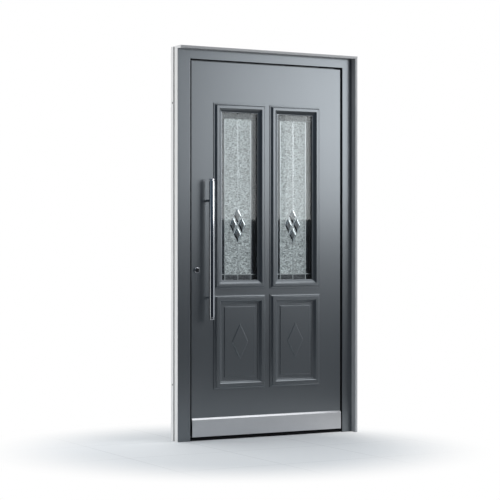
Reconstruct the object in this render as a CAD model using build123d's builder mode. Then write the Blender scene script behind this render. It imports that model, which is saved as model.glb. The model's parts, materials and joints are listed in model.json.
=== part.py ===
from build123d import *
import os

# A single front door with its frame: an aluminium frame, an inward-opening panelled leaf with two
# leaded windows and two panelled cassettes, a long pull bar, a lever, a mortise lock and three hinges.
# X runs to the right seen from outside, Y from outside to inside, Z up. The origin is on the underside
# of the threshold, at the middle of the frame's width and depth. All sizes are in millimetres.

# Frame
frame_width = 1100
frame_height = 2100
frame_depth = 80
outer_half_depth = 40
isolator_depth = 10
jamb_width = 76
head_height = 66
rebate_step = 22
frame_wall = 3
frame_edge_radius = 3
isolator_thickness = 3
isolator_inset = 5
hardware_groove_width = 18
hardware_groove_depth = 24
casing_thickness = 14
casing_projection = 40
casing_edge_radius = 1.5
anchor_hole_radius = 5.25
anchor_end_distance = 300

# Threshold and seals
threshold_height = 18
threshold_setback = 15
threshold_chamfer = 5
seal_gap = 5
seal_inset = 5
seal_width = 9
soft_clearance = 0.3
bottom_seal_width = 14
butt_gap = 0.2

# Leaf
leaf_gap = 9.5
leaf_recess = 7
leaf_floor_gap = 6
skin_thickness = 3
member_width = 60
member_wall = 3
bottom_rail_height = 80

# Panels: two windows above and two cassettes below the middle rail
panel_side_margin = 133
panel_gap = 27
panel_top_margin = 216.5
panel_bottom_margin = 245
middle_rail_z = 792
middle_rail_height = 30

# Moulding section, from its outer edge inwards
moulding_width = 50
moulding_height = 14
lip_rise = 4
lip_run = 5
cove_run = 9
cove_hollow = 1.8
crown_run = 14
round_run = 4
round_drop = 5
round_swell = 1.2
slope_run = 16
slope_foot = 1
slope_hollow = 0.8
inner_moulding_height = 8
inner_moulding_edge = 5
inner_moulding_slope = 9

# Glazing, from outside to inside
glass_cover = 15
glass_clearance = 3
leg_clearance = 0.5
gasket_thickness = 3
gasket_width = 12
outer_pane_thickness = 6
ornament_pane_thickness = 4
inner_pane_thickness = 6
cavity = 12
spacer_width = 10
spacer_inset = 2

# Leaded pattern on the middle pane
came_width = 6
came_thickness = 2
came_side_share = 0.734
came_end_border = 28
cluster_width_share = 0.6625
cluster_height = 203
cluster_rise = 346
cross_came_rise = 208
diamond_came_width = 4
diamond_height = 3
diamond_bevel_share = 0.085
diamond_clearance = 0.4

# Cassette fields
field_clearance = 0.2
field_thickness = 2
field_border = 14
field_rise = 3
field_bevel_angle = 55
rhombus_width_share = 0.46
rhombus_height_share = 0.48
rhombus_rise = 4
rhombus_bevel_angle = 60

# Kick plate
kick_plate_height = 100
kick_plate_thickness = 10
kick_plate_bevel = 9
kick_plate_drop = 3

# Pull bar
bar_radius = 14.5
bar_wall = 2
bar_length = 750
bar_edge_distance = 95.5
bar_centre_z = 1022
bar_standoff = 52
post_radius = 6.5
post_spacing = 518
cap_neck_radius = 12.5
cap_neck_height = 3
cap_height = 12

# Hinges
hinge_count = 3
hinge_low_margin = 166
hinge_high_margin = 196.5
hinge_axis_inset = 4.5
hinge_axis_height = 11
knuckle_radius = 10
knuckle_gap = 0.5
leaf_knuckle_length = 50
frame_knuckle_length = 32
pin_radius = 5
pin_clearance = 0.08
pin_proud = 2
hinge_plate_width = 40
hinge_plate_thickness = 4
hinge_plate_offset = 12
hinge_arm_height = 9
hinge_arm_overlap = 10

# Lock
backset = 51.5
lever_height = 1002
cylinder_drop = 92
lock_case_length = 66
lock_case_thickness = 15
lock_case_wall = 1.5
lock_case_margin = 30
faceplate_width = 20
faceplate_margin = 12
bolt_clearance = 0.3
latch_thickness = 10
latch_height = 30
latch_projection = 8
latch_length = 38
latch_bevel = 6
deadbolt_thickness = 12
deadbolt_height = 32
deadbolt_length = 34
deadbolt_setback = 0.5
strike_thickness = 3
strike_height = 80
strike_width = 28
strike_hole_margin = 1.5
strike_edge = 1
keeper_length = 30
keeper_travel = 36
keeper_foot_depth = 10
keeper_latch_gap = 1
keeper_projection = 7.5
keeper_reach = 16

# Cylinder and lever furniture
cylinder_radius = 11
cylinder_proud = 6
plug_radius = 6.5
plug_clearance = 0.3
keyway_width = 2.4
keyway_height = 9
keyway_depth = 8
rosette_radius = 15.5
rosette_height = 9
backplate_width = 38
backplate_height = 230
backplate_thickness = 8
backplate_edge = 2
spindle_side = 8
spindle_length = 36
lever_radius = 9
lever_neck_insert = 5
lever_reach = 54
lever_length = 125
lever_end_bevel = 2

overrun = 5

# Places worked out from the sizes above
half_width = frame_width / 2
front_y = -frame_depth / 2
back_y = frame_depth / 2
step_y = front_y + outer_half_depth
inner_front_y = step_y + isolator_depth
inner_jamb_width = jamb_width - rebate_step
inner_head_height = head_height - rebate_step
outer_edge_x = half_width - jamb_width
inner_edge_x = half_width - inner_jamb_width
head_under_z = frame_height - head_height
inner_head_under_z = frame_height - inner_head_height

leaf_half = outer_edge_x - leaf_gap
lip_half = inner_edge_x - leaf_gap
leaf_top_z = head_under_z - leaf_gap
lip_top_z = inner_head_under_z - leaf_gap
leaf_bottom_z = threshold_height + leaf_floor_gap
leaf_front_y = front_y + leaf_recess
leaf_back_y = back_y
member_front_y = leaf_front_y + skin_thickness
member_back_y = leaf_back_y - skin_thickness
lip_front_y = step_y + seal_gap
core_half = leaf_half - member_width
core_top_z = leaf_top_z - member_width
core_bottom_z = leaf_bottom_z + bottom_rail_height

panel_width = leaf_half - panel_side_margin - panel_gap / 2
panel_pitch = panel_width + panel_gap
window_bottom_z = middle_rail_z + middle_rail_height / 2
window_height = leaf_top_z - panel_top_margin - window_bottom_z
cassette_bottom_z = leaf_bottom_z + panel_bottom_margin
cassette_height = middle_rail_z - middle_rail_height / 2 - cassette_bottom_z
opening_width = panel_width - 2 * moulding_width
window_opening_height = window_height - 2 * moulding_width
cassette_opening_height = cassette_height - 2 * moulding_width
window_centre_z = window_bottom_z + window_height / 2
cassette_centre_z = cassette_bottom_z + cassette_height / 2
glass_width = opening_width + 2 * glass_cover
glass_height = window_opening_height + 2 * glass_cover
cut_width = glass_width + 2 * glass_clearance
window_cut_height = glass_height + 2 * glass_clearance
cassette_cut_height = cassette_opening_height + 2 * (glass_cover + glass_clearance)
leg_u = moulding_width - glass_cover - glass_clearance + leg_clearance

outer_pane_y = member_front_y + gasket_thickness
outer_cavity_y = outer_pane_y + outer_pane_thickness
ornament_y = outer_cavity_y + cavity
inner_cavity_y = ornament_y + ornament_pane_thickness
inner_pane_y = inner_cavity_y + cavity
glass_back_y = inner_pane_y + inner_pane_thickness
inner_gasket_back_y = glass_back_y + gasket_thickness

lock_y = (lip_front_y + leaf_back_y) / 2
spindle_x = -(lip_half - backset)
cylinder_z = lever_height - cylinder_drop
faceplate_back_x = -(lip_half - member_wall)
lock_bottom_z = cylinder_z - lock_case_margin
lock_top_z = lever_height + lock_case_margin
hinge_x = lip_half + hinge_axis_inset
hinge_y = back_y + hinge_axis_height

# Left and right as seen from outside
sides = {"left": -1, "right": 1}

os.makedirs("parts", exist_ok=True)


def save(piece, label):
    piece.label = label
    export_step(piece, f"parts/{label}.step")


def corner_plane(side, corner_x, corner_z, run, rise):
    # The mitre plane at a top corner: it holds the corner's diagonal and faces the head.
    return Plane(origin=(side * corner_x, 0, corner_z), z_dir=(-side * rise, 0, run))


# Frame: outer aluminium halves, mitred at the top corners
for name, side in sides.items():
    with BuildPart() as jamb_outer:
        with BuildSketch(Plane.XY):
            with Locations((side * (half_width - jamb_width / 2), front_y + outer_half_depth / 2)):
                Rectangle(jamb_width, outer_half_depth)
            visible_edge = vertices().group_by(Axis.Y)[0].sort_by(Axis.X)[0 if side > 0 else -1]
            fillet(visible_edge, frame_edge_radius)
            with Locations((side * (half_width - jamb_width / 2), front_y + outer_half_depth / 2)):
                Rectangle(jamb_width - 2 * frame_wall, outer_half_depth - 2 * frame_wall, mode=Mode.SUBTRACT)
        extrude(amount=frame_height)
        mitre = corner_plane(side, half_width, frame_height, jamb_width, head_height)
        split(bisect_by=mitre, keep=Keep.BOTTOM)
    save(jamb_outer.part, f"{name}_jamb_outer")

with BuildPart() as head_outer:
    with BuildSketch(Plane.YZ):
        with Locations((front_y + outer_half_depth / 2, frame_height - head_height / 2)):
            Rectangle(outer_half_depth, head_height)
        fillet(vertices().group_by(Axis.X)[0].sort_by(Axis.Y)[0], frame_edge_radius)
        with Locations((front_y + outer_half_depth / 2, frame_height - head_height / 2)):
            Rectangle(outer_half_depth - 2 * frame_wall, head_height - 2 * frame_wall, mode=Mode.SUBTRACT)
    extrude(amount=half_width, both=True)
    for side in sides.values():
        mitre = corner_plane(side, half_width, frame_height, jamb_width, head_height)
        split(bisect_by=mitre, keep=Keep.TOP)
save(head_outer.part, "head_outer")

# Frame: inner aluminium halves with the hardware groove that faces the leaf
inner_depth = back_y - inner_front_y
groove_floor = inner_jamb_width - hardware_groove_depth
chamber_run = groove_floor - 2 * frame_wall
head_chamber_run = inner_head_height - hardware_groove_depth - 2 * frame_wall
anchor_places = [anchor_end_distance, frame_height - anchor_end_distance]
for name, side in sides.items():
    with BuildPart() as jamb_inner:
        with BuildSketch(Plane.XY):
            with Locations((side * (half_width - inner_jamb_width / 2), inner_front_y + inner_depth / 2)):
                Rectangle(inner_jamb_width, inner_depth)
            with Locations((side * (inner_edge_x + hardware_groove_depth / 2), lock_y)):
                Rectangle(hardware_groove_depth, hardware_groove_width, mode=Mode.SUBTRACT)
            chamber_x = half_width - frame_wall - chamber_run / 2
            with Locations((side * chamber_x, inner_front_y + inner_depth / 2)):
                Rectangle(chamber_run, inner_depth - 2 * frame_wall, mode=Mode.SUBTRACT)
        extrude(amount=frame_height)
        mitre = corner_plane(side, half_width, frame_height, inner_jamb_width, inner_head_height)
        split(bisect_by=mitre, keep=Keep.BOTTOM)
        for anchor_z in anchor_places:
            with Locations(Location((side * half_width, lock_y, anchor_z), (0, 90, 0))):
                Cylinder(anchor_hole_radius, 2 * (groove_floor + overrun), mode=Mode.SUBTRACT)
    save(jamb_inner.part, f"{name}_jamb_inner")

with BuildPart() as head_inner:
    with BuildSketch(Plane.YZ):
        with Locations((inner_front_y + inner_depth / 2, frame_height - inner_head_height / 2)):
            Rectangle(inner_depth, inner_head_height)
        with Locations((lock_y, inner_head_under_z + hardware_groove_depth / 2)):
            Rectangle(hardware_groove_width, hardware_groove_depth, mode=Mode.SUBTRACT)
        with Locations((inner_front_y + inner_depth / 2, frame_height - frame_wall - head_chamber_run / 2)):
            Rectangle(inner_depth - 2 * frame_wall, head_chamber_run, mode=Mode.SUBTRACT)
    extrude(amount=half_width, both=True)
    for side in sides.values():
        mitre = corner_plane(side, half_width, frame_height, inner_jamb_width, inner_head_height)
        split(bisect_by=mitre, keep=Keep.TOP)
save(head_inner.part, "head_inner")

# Frame: two rows of isolator bars between the halves, on both jambs and the head
far_isolator_inset = inner_head_height - isolator_inset - isolator_thickness
with BuildPart() as frame_isolators:
    for inset in (isolator_inset, far_isolator_inset):
        isolator_x = half_width - inset - isolator_thickness / 2
        with BuildSketch(Plane.XY):
            for side in sides.values():
                with Locations((side * isolator_x, step_y + isolator_depth / 2)):
                    Rectangle(isolator_thickness, isolator_depth)
        extrude(amount=frame_height - inset - isolator_thickness - butt_gap)
        with BuildSketch(Plane.XY.offset(frame_height - inset - isolator_thickness)):
            with Locations((0, step_y + isolator_depth / 2)):
                Rectangle(frame_width - 2 * inset, isolator_depth)
        extrude(amount=isolator_thickness)
save(frame_isolators.part, "frame_isolators")

# Casing: the light bars that stand forward at the hinge side and over the head
with BuildPart() as casing_right:
    with BuildSketch(Plane.XY):
        with Locations((half_width - casing_thickness / 2, front_y - casing_projection / 2)):
            Rectangle(casing_thickness, casing_projection)
        fillet(vertices().group_by(Axis.Y)[0], casing_edge_radius)
    extrude(amount=frame_height - casing_thickness)
save(casing_right.part, "casing_right")

with BuildPart() as casing_head:
    with BuildSketch(Plane.YZ):
        with Locations((front_y - casing_projection / 2, frame_height - casing_thickness / 2)):
            Rectangle(casing_projection, casing_thickness)
        fillet(vertices().group_by(Axis.X)[0], casing_edge_radius)
    extrude(amount=half_width, both=True)
save(casing_head.part, "casing_head")

# Threshold between the jambs, wider behind the rebate, with a chamfered nose
with BuildPart() as threshold:
    with BuildSketch(Plane.XY):
        with BuildLine():
            Polyline(
                (-outer_edge_x, front_y + threshold_setback),
                (outer_edge_x, front_y + threshold_setback),
                (outer_edge_x, step_y),
                (inner_edge_x, step_y),
                (inner_edge_x, back_y),
                (-inner_edge_x, back_y),
                (-inner_edge_x, step_y),
                (-outer_edge_x, step_y),
                close=True,
            )
        make_face()
    extrude(amount=threshold_height)
    chamfer(edges().group_by(Axis.Z)[-1].sort_by(Axis.Y)[0], threshold_chamfer)
save(threshold.part, "threshold")

# Gasket on the frame's step, round the sides and the top of the leaf
seal_depth = seal_gap - soft_clearance
seal_x = outer_edge_x + seal_inset
seal_z = head_under_z + seal_inset
with BuildPart() as frame_gasket:
    with BuildSketch(Plane.XY.offset(threshold_height)):
        for side in sides.values():
            with Locations((side * (seal_x + seal_width / 2), step_y + seal_depth / 2)):
                Rectangle(seal_width, seal_depth)
    extrude(amount=seal_z - threshold_height - butt_gap)
    with BuildSketch(Plane.XY.offset(seal_z)):
        with Locations((0, step_y + seal_depth / 2)):
            Rectangle(2 * (seal_x + seal_width), seal_depth)
    extrude(amount=seal_width)
save(frame_gasket.part, "frame_gasket")

def round_way(way_radius, way_z, centre_y, way_length):
    # Cuts a bored way for the lock cylinder or the lever out of the part being built.
    with Locations(Location((spindle_x, centre_y, way_z), (90, 0, 0))):
        Cylinder(way_radius + bolt_clearance, way_length, mode=Mode.SUBTRACT)


def milled_way(way_radius, way_z, centre_y, way_length):
    # Cuts a square milled way for the same out of a hidden part being built.
    side_length = 2 * (way_radius + bolt_clearance)
    with Locations((spindle_x, centre_y, way_z)):
        Box(side_length, way_length, side_length, mode=Mode.SUBTRACT)


# Leaf: hollow rebated stiles, mitred to the top rail, and a bottom rail between the stiles
for name, side in {"lock": -1, "hinge": 1}.items():
    with BuildPart() as stile:
        with BuildSketch(Plane.XY.offset(leaf_bottom_z)):
            with BuildLine():
                Polyline(
                    (side * leaf_half, member_front_y),
                    (side * core_half, member_front_y),
                    (side * core_half, member_back_y),
                    (side * lip_half, member_back_y),
                    (side * lip_half, lip_front_y),
                    (side * leaf_half, lip_front_y),
                    close=True,
                )
            make_face()
            offset(amount=-member_wall, kind=Kind.INTERSECTION, mode=Mode.SUBTRACT)
        extrude(amount=lip_top_z - leaf_bottom_z)
        split(bisect_by=corner_plane(side, lip_half, lip_top_z, 1, 1), keep=Keep.BOTTOM)
        if name == "lock":
            # Slot for the faceplate, and the ways for the lock cylinder and the lever's neck
            with Locations((-lip_half, lock_y, (lock_bottom_z + lock_top_z) / 2)):
                Box(
                    2 * member_wall,
                    faceplate_width + 2 * bolt_clearance,
                    lock_top_z - lock_bottom_z + 2 * (faceplate_margin + bolt_clearance),
                    mode=Mode.SUBTRACT,
                )
            milled_way(cylinder_radius, cylinder_z, 0, 2 * frame_depth)
            milled_way(lever_radius, lever_height, member_back_y, 2 * member_wall + overrun)
    save(stile.part, f"{name}_stile")

with BuildPart() as top_rail:
    with BuildSketch(Plane.YZ):
        with BuildLine():
            Polyline(
                (member_front_y, leaf_top_z),
                (member_front_y, core_top_z),
                (member_back_y, core_top_z),
                (member_back_y, lip_top_z),
                (lip_front_y, lip_top_z),
                (lip_front_y, leaf_top_z),
                close=True,
            )
        make_face()
        offset(amount=-member_wall, kind=Kind.INTERSECTION, mode=Mode.SUBTRACT)
    extrude(amount=lip_half, both=True)
    for side in sides.values():
        split(bisect_by=corner_plane(side, lip_half, lip_top_z, 1, 1), keep=Keep.TOP)
save(top_rail.part, "top_rail")

member_depth = member_back_y - member_front_y
member_centre_y = (member_back_y + member_front_y) / 2
with BuildPart() as bottom_rail:
    with BuildSketch(Plane.YZ):
        with Locations((member_centre_y, leaf_bottom_z + bottom_rail_height / 2)):
            Rectangle(member_depth, bottom_rail_height)
            offset(amount=-member_wall, kind=Kind.INTERSECTION, mode=Mode.SUBTRACT)
    extrude(amount=core_half, both=True)
save(bottom_rail.part, "bottom_rail")

# Leaf: outer and inner skins on a foam core, cut out for the windows and, outside, for the cassettes
panel_places = {"left": -panel_pitch / 2, "right": panel_pitch / 2}

with BuildPart() as outer_skin:
    with BuildSketch(Plane.XZ.offset(-member_front_y)):
        with Locations((0, (leaf_bottom_z + leaf_top_z) / 2)):
            Rectangle(2 * leaf_half, leaf_top_z - leaf_bottom_z)
        for panel_x in panel_places.values():
            with Locations((panel_x, window_centre_z)):
                Rectangle(cut_width, window_cut_height, mode=Mode.SUBTRACT)
            with Locations((panel_x, cassette_centre_z)):
                Rectangle(cut_width, cassette_cut_height, mode=Mode.SUBTRACT)
    extrude(amount=skin_thickness)
    round_way(cylinder_radius, cylinder_z, leaf_front_y, 2 * skin_thickness + overrun)
save(outer_skin.part, "outer_skin")

with BuildPart() as inner_skin:
    with BuildSketch(Plane.XZ.offset(-leaf_back_y)):
        with Locations((0, (leaf_bottom_z + lip_top_z) / 2)):
            Rectangle(2 * lip_half, lip_top_z - leaf_bottom_z)
        for panel_x in panel_places.values():
            with Locations((panel_x, window_centre_z)):
                Rectangle(cut_width, window_cut_height, mode=Mode.SUBTRACT)
    extrude(amount=skin_thickness)
    round_way(cylinder_radius, cylinder_z, leaf_back_y, 2 * skin_thickness + overrun)
    round_way(lever_radius, lever_height, leaf_back_y, 2 * skin_thickness + overrun)
save(inner_skin.part, "inner_skin")

with BuildPart() as foam_core:
    with BuildSketch(Plane.XZ.offset(-member_back_y)):
        with Locations((0, (core_bottom_z + core_top_z) / 2)):
            Rectangle(2 * core_half, core_top_z - core_bottom_z)
        for panel_x in panel_places.values():
            with Locations((panel_x, window_centre_z)):
                Rectangle(cut_width, window_cut_height, mode=Mode.SUBTRACT)
    extrude(amount=member_depth)
save(foam_core.part, "foam_core")


# Mouldings: a section drawn once, run along four bars and mitred at the corners
def outer_moulding_section():
    crown_start = lip_run + cove_run
    crown_end = crown_start + crown_run
    round_end = (crown_end + round_run, moulding_height - round_drop)
    slope_end = (crown_end + round_run + slope_run, slope_foot)
    with BuildLine() as outline:
        Polyline(
            slope_end,
            (moulding_width, slope_foot),
            (moulding_width, -skin_thickness),
            (leg_u, -skin_thickness),
            (leg_u, 0),
            (0, 0),
            (0, lip_rise),
            (lip_run, lip_rise),
        )
        SagittaArc((lip_run, lip_rise), (crown_start, moulding_height), -cove_hollow)
        Line((crown_start, moulding_height), (crown_end, moulding_height))
        SagittaArc((crown_end, moulding_height), round_end, round_swell)
        SagittaArc(round_end, slope_end, -slope_hollow)
    make_face(outline.edges())


def inner_moulding_section():
    leg_depth = leaf_back_y - inner_gasket_back_y
    with BuildLine() as outline:
        Polyline(
            (0, 0),
            (0, inner_moulding_height - inner_moulding_edge),
            (inner_moulding_edge, inner_moulding_height),
            (moulding_width - inner_moulding_slope, inner_moulding_height),
            (moulding_width, -leg_depth),
            (leg_u, -leg_depth),
            (leg_u, 0),
            close=True,
        )
    make_face(outline.edges())


def mitred_bars(section, facing, base_y, centre_x, centre_z, width, height):
    # Four bars of one section round a rectangle; facing is the way along Y that the section rises.
    rise = Vector(0, facing, 0)
    bars = []
    for inward, reach, length in (
        (Vector(1, 0, 0), width, height),
        (Vector(-1, 0, 0), width, height),
        (Vector(0, 0, 1), height, width),
        (Vector(0, 0, -1), height, width),
    ):
        along = inward.cross(rise)
        start = Vector(centre_x, base_y, centre_z) - inward * (reach / 2)
        with BuildPart() as bar:
            with BuildSketch(Plane(origin=start, x_dir=inward, z_dir=along)):
                section()
            extrude(amount=length / 2, both=True)
            for end in (along, -along):
                mitre = Plane(origin=start + end * (length / 2), z_dir=inward + end)
                split(bisect_by=mitre, keep=Keep.BOTTOM)
        bars.append(bar.part.solid())
    return bars


for name, panel_x in panel_places.items():
    window = (panel_x, window_centre_z, panel_width, window_height)
    cassette = (panel_x, cassette_centre_z, panel_width, cassette_height)
    bars = mitred_bars(outer_moulding_section, -1, leaf_front_y, *window)
    save(Compound(bars), f"{name}_outer_moulding")
    bars = mitred_bars(inner_moulding_section, 1, leaf_back_y, *window)
    save(Compound(bars), f"{name}_inner_moulding")
    bars = mitred_bars(outer_moulding_section, -1, leaf_front_y, *cassette)
    save(Compound(bars), f"{name}_cassette_moulding")


# Glazing: three panes in each window
for name, panel_x in panel_places.items():
    for pane, pane_y, thickness in (
        ("outer", outer_pane_y, outer_pane_thickness),
        ("ornament", ornament_y, ornament_pane_thickness),
        ("inner", inner_pane_y, inner_pane_thickness),
    ):
        with BuildPart() as glass:
            with BuildSketch(Plane.XZ.offset(-pane_y - thickness)):
                with Locations((panel_x, window_centre_z)):
                    Rectangle(glass_width, glass_height)
            extrude(amount=thickness)
        save(glass.part, f"{name}_{pane}_pane")


def glass_rings(ring_faces, thickness, inset, ring_width):
    # Rectangular rings that follow the edge of the glass, with their inner faces at the given depths.
    for panel_x in panel_places.values():
        for face_y in ring_faces:
            with BuildSketch(Plane.XZ.offset(-face_y)) as ring:
                with Locations((panel_x, window_centre_z)):
                    Rectangle(glass_width - 2 * inset, glass_height - 2 * inset)
                    Rectangle(
                        glass_width - 2 * (inset + ring_width),
                        glass_height - 2 * (inset + ring_width),
                        mode=Mode.SUBTRACT,
                    )
            extrude(ring.sketch, amount=thickness)


with BuildPart() as glass_spacers:
    glass_rings((ornament_y, inner_pane_y), cavity, spacer_inset, spacer_width)
save(glass_spacers.part, "glass_spacers")

with BuildPart() as glazing_gaskets:
    glass_rings((outer_pane_y, inner_gasket_back_y), gasket_thickness, spacer_inset, gasket_width)
save(glazing_gaskets.part, "glazing_gaskets")

# Leaded pattern: cames on the middle pane, with a cluster of four bevelled diamonds
spacer_opening_width = glass_width - 2 * (spacer_inset + spacer_width)
spacer_opening_height = glass_height - 2 * (spacer_inset + spacer_width)
cluster_centre_z = window_bottom_z + cluster_rise
cross_came_z = window_bottom_z + cross_came_rise
low_came_z = window_centre_z - window_opening_height / 2 + came_end_border
high_came_z = window_centre_z + window_opening_height / 2 - came_end_border
came_side = opening_width / 2 * came_side_share
cluster_width = 2 * came_side * cluster_width_share
came_bottom_z = window_centre_z - spacer_opening_height / 2
came_top_z = window_centre_z + spacer_opening_height / 2
half_across = cluster_width / 2
half_tall = cluster_height / 2


def rhombus(width, height, mode=Mode.ADD):
    corners = [(0, height / 2), (-width / 2, 0), (0, -height / 2), (width / 2, 0)]
    Polygon(*corners, align=None, mode=mode)


def shrunk(width, height, inset):
    # The rhombus whose four sides lie evenly inside those of another.
    slant = (width**2 + height**2) ** 0.5
    return width - 2 * inset * slant / height, height - 2 * inset * slant / width


hole_size = shrunk(half_across, half_tall, diamond_came_width / 2)
diamond_foot = shrunk(half_across, half_tall, diamond_came_width / 2 + diamond_clearance)
diamond_bevel_run = cluster_width * diamond_bevel_share
small_places = [
    (0, half_tall / 2),
    (0, -half_tall / 2),
    (half_across / 2, 0),
    (-half_across / 2, 0),
]


def bevel_diamond(centre_x, centre_z):
    # A rhombus of glass whose four sides slope up to a smaller flat face.
    width, height = diamond_foot
    slant = (width**2 + height**2) ** 0.5
    rise_across = diamond_height * height / slant
    rise_up = diamond_height * width / slant
    with BuildPart() as diamond:
        with BuildSketch(Plane.XZ.offset(-ornament_y)):
            with Locations((centre_x, centre_z)):
                rhombus(width, height)
        extrude(amount=diamond_height)
        for across in (-1, 1):
            for up in (-1, 1):
                corner = (centre_x + across * width / 2, ornament_y, centre_z)
                slope = Plane(origin=corner, z_dir=(across * rise_across, -diamond_bevel_run, up * rise_up))
                split(bisect_by=slope, keep=Keep.BOTTOM)
    return diamond.part.solid()


for name, panel_x in panel_places.items():
    with BuildPart() as came_grid:
        with BuildSketch(Plane.XZ.offset(-ornament_y)):
            for came_x in (-came_side, came_side):
                with Locations((panel_x + came_x, window_centre_z)):
                    Rectangle(came_width, spacer_opening_height)
            for came_z in (low_came_z, high_came_z):
                with Locations((panel_x, came_z)):
                    Rectangle(spacer_opening_width, came_width)
            with Locations((panel_x, cross_came_z)):
                Rectangle(2 * came_side, came_width)
            for came_low, came_high in (
                (came_bottom_z, cluster_centre_z - half_tall),
                (cluster_centre_z + half_tall, came_top_z),
            ):
                with Locations((panel_x, (came_low + came_high) / 2)):
                    Rectangle(came_width, came_high - came_low)
            arm_x = (half_across + came_side) / 2
            for side in sides.values():
                with Locations((panel_x + side * arm_x, cluster_centre_z)):
                    Rectangle(came_side - half_across, came_width)
            with Locations((panel_x, cluster_centre_z)):
                rhombus(cluster_width + came_width, cluster_height + came_width)
            for place_x, place_z in small_places:
                with Locations((panel_x + place_x, cluster_centre_z + place_z)):
                    rhombus(*hole_size, mode=Mode.SUBTRACT)
        extrude(amount=came_thickness)
    save(came_grid.part, f"{name}_came_grid")

    diamonds = [bevel_diamond(panel_x + across, cluster_centre_z + up) for across, up in small_places]
    save(Compound(diamonds), f"{name}_bevel_diamonds")

# Cassette fields: a flat plate, a raised field with bevelled edges and a raised rhombus
for name, panel_x in panel_places.items():
    with BuildPart() as cassette_field:
        with BuildSketch(Plane.XZ.offset(-member_front_y)):
            with Locations((panel_x, cassette_centre_z)):
                Rectangle(opening_width - 2 * field_clearance, cassette_opening_height - 2 * field_clearance)
        extrude(amount=field_thickness)
        with BuildSketch(Plane.XZ.offset(-member_front_y + field_thickness)):
            with Locations((panel_x, cassette_centre_z)):
                Rectangle(opening_width - 2 * field_border, cassette_opening_height - 2 * field_border)
        extrude(amount=field_rise, taper=field_bevel_angle)
        with BuildSketch(Plane.XZ.offset(-member_front_y + field_thickness + field_rise)):
            with Locations((panel_x, cassette_centre_z)):
                rhombus(opening_width * rhombus_width_share, cassette_opening_height * rhombus_height_share)
        extrude(amount=rhombus_rise, taper=rhombus_bevel_angle)
    save(cassette_field.part, f"{name}_cassette_panel")

# Kick plate along the foot of the leaf, with a bevelled top edge
kick_bottom_z = leaf_bottom_z - kick_plate_drop
with BuildPart() as kick_plate:
    with BuildSketch(Plane.YZ):
        with BuildLine():
            Polyline(
                (leaf_front_y, kick_bottom_z),
                (leaf_front_y, kick_bottom_z + kick_plate_height),
                (leaf_front_y - kick_plate_thickness + kick_plate_bevel, kick_bottom_z + kick_plate_height),
                (leaf_front_y - kick_plate_thickness, kick_bottom_z + kick_plate_height - kick_plate_bevel),
                (leaf_front_y - kick_plate_thickness, kick_bottom_z),
                close=True,
            )
        make_face()
    extrude(amount=leaf_half, both=True)
save(kick_plate.part, "kick_plate")

with BuildPart() as bottom_seal:
    with BuildSketch(Plane.XY.offset(leaf_bottom_z)):
        with Locations((0, member_centre_y)):
            Rectangle(2 * core_half, bottom_seal_width)
    extrude(amount=-(leaf_floor_gap - soft_clearance))
save(bottom_seal.part, "bottom_seal")

# Pull bar: a tube on two posts, closed by stepped caps
bar_x = -leaf_half + bar_edge_distance
bar_y = leaf_front_y - bar_standoff
bar_bottom_z = bar_centre_z - bar_length / 2
tube_length = bar_length - 2 * cap_height
with BuildPart() as handle_bar:
    with BuildSketch(Plane.XY.offset(bar_bottom_z + cap_height)):
        with Locations((bar_x, bar_y)):
            Circle(bar_radius)
            Circle(bar_radius - bar_wall, mode=Mode.SUBTRACT)
    extrude(amount=tube_length)
save(handle_bar.part, "handle_bar")

with BuildPart() as handle_end_caps:
    tube_bottom_z = bar_bottom_z + cap_height
    for cap_face_z, outward in ((tube_bottom_z, -1), (tube_bottom_z + tube_length, 1)):
        with BuildSketch(Plane.XZ.offset(-bar_y)):
            with BuildLine():
                Polyline(
                    (bar_x, cap_face_z),
                    (bar_x + cap_neck_radius, cap_face_z),
                    (bar_x + cap_neck_radius, cap_face_z + outward * cap_neck_height),
                    (bar_x + bar_radius, cap_face_z + outward * cap_neck_height),
                    (bar_x + bar_radius, cap_face_z + outward * cap_height),
                    (bar_x, cap_face_z + outward * cap_height),
                    close=True,
                )
            make_face()
        revolve(axis=Axis((bar_x, bar_y, 0), (0, 0, 1)))
save(handle_end_caps.part, "handle_end_caps")

# The posts are scribed to the round of the bar.
with BuildPart() as handle_posts:
    for post_z in (bar_centre_z - post_spacing / 2, bar_centre_z + post_spacing / 2):
        with BuildSketch(Plane.XZ.offset(-leaf_front_y)):
            with Locations((bar_x, post_z)):
                Circle(post_radius)
        extrude(amount=bar_standoff)
    with Locations((bar_x, bar_y, bar_centre_z)):
        Cylinder(bar_radius, bar_length, mode=Mode.SUBTRACT)
save(handle_posts.part, "handle_posts")

# Hinges: each has a leaf knuckle between two frame knuckles, with plates screwed to leaf and frame
hinge_low_z = leaf_bottom_z + hinge_low_margin
hinge_pitch = (lip_top_z - hinge_high_margin - hinge_low_z) / (hinge_count - 1)
hinge_places = [hinge_low_z + number * hinge_pitch for number in range(hinge_count)]
knuckle_step = leaf_knuckle_length / 2 + knuckle_gap + frame_knuckle_length / 2
hinge_height = leaf_knuckle_length + 2 * (frame_knuckle_length + knuckle_gap)


def hinge_half(side, knuckles, centre_z):
    # One plate on the inner face, with an arm and a bored knuckle at each given height and length.
    plate_x = hinge_x + side * (hinge_plate_offset + hinge_plate_width / 2)
    arm_run = hinge_plate_offset + hinge_arm_overlap
    with Locations((plate_x, back_y + hinge_plate_thickness / 2, centre_z)):
        Box(hinge_plate_width, hinge_plate_thickness, hinge_height)
    for knuckle_z, length in knuckles:
        with Locations((hinge_x + side * arm_run / 2, back_y + hinge_arm_height / 2, knuckle_z)):
            Box(arm_run, hinge_arm_height, length)
        with Locations((hinge_x, hinge_y, knuckle_z)):
            Cylinder(knuckle_radius, length)
            Cylinder(pin_radius + pin_clearance, length + overrun, mode=Mode.SUBTRACT)


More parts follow.
